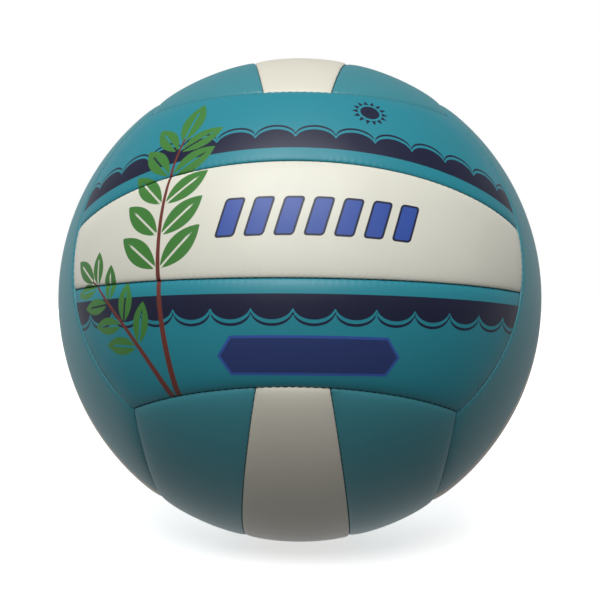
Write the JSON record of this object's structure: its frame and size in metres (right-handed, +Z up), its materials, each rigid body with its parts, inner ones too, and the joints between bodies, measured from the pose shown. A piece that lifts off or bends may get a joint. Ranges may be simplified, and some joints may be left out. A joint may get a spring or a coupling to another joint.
{
  "type": "volleyball",
  "caption": "Machine-stitched beach volleyball of teal and ivory strips laid in crossed threes, with foam backing, bladder and needle valve.",
  "frame": {"origin": "centre of the ball", "axes": "+Z up, -Y towards the viewer of the picture, +X to the viewer's right. The ball lies as pictured: the centre of its front face leans back by 17 degrees, so it points along (0, -0.9563, 0.2924), and the valve is opposite it, along (0, 0.9563, -0.2924)."},
  "size_m": [0.213, 0.213, 0.213],
  "materials": {
    "skin_teal": "satin",
    "skin_ivory": "satin",
    "foam": "matte",
    "thread": "matte",
    "bladder_rubber": "satin",
    "valve_rubber": "matte",
    "core_rubber": "matte"
  },
  "bodies": {
    "root": {"skin_front_upper": "skin_teal", "skin_front_middle": "skin_ivory", "skin_front_lower": "skin_teal", "skin_back_upper": "skin_teal", "skin_back_middle": "skin_ivory", "skin_back_lower": "skin_teal", "skin_top_left": "skin_teal", "skin_top_middle": "skin_ivory", "skin_top_right": "skin_teal", "skin_bottom_left": "skin_teal", "skin_bottom_middle": "skin_ivory", "skin_bottom_right": "skin_teal", "skin_left_front": "skin_teal", "skin_left_middle": "skin_ivory", "skin_left_back": "skin_teal", "skin_right_front": "skin_teal", "skin_right_middle": "skin_ivory", "skin_right_back": "skin_teal", "foam_front_upper": "foam", "foam_front_middle": "foam", "foam_front_lower": "foam", "foam_back_upper": "foam", "foam_back_middle": "foam", "foam_back_lower": "foam", "foam_top_left": "foam", "foam_top_middle": "foam", "foam_top_right": "foam", "foam_bottom_left": "foam", "foam_bottom_middle": "foam", "foam_bottom_right": "foam", "foam_left_front": "foam", "foam_left_middle": "foam", "foam_left_back": "foam", "foam_right_front": "foam", "foam_right_middle": "foam", "foam_right_back": "foam", "seam_front_upper": "thread", "seam_front_lower": "thread", "seam_front_strips": "thread", "seam_back_upper": "thread", "seam_back_lower": "thread", "seam_back_strips": "thread", "seam_top_left": "thread", "seam_top_right": "thread", "seam_top_strips": "thread", "seam_bottom_left": "thread", "seam_bottom_right": "thread", "seam_bottom_strips": "thread", "seam_left_front": "thread", "seam_left_back": "thread", "seam_left_strips": "thread", "seam_right_front": "thread", "seam_right_back": "thread", "seam_right_strips": "thread", "bladder": "bladder_rubber", "valve_patch": "bladder_rubber", "valve_body": "valve_rubber", "valve_core": "core_rubber"}
  },
  "joints": []
}
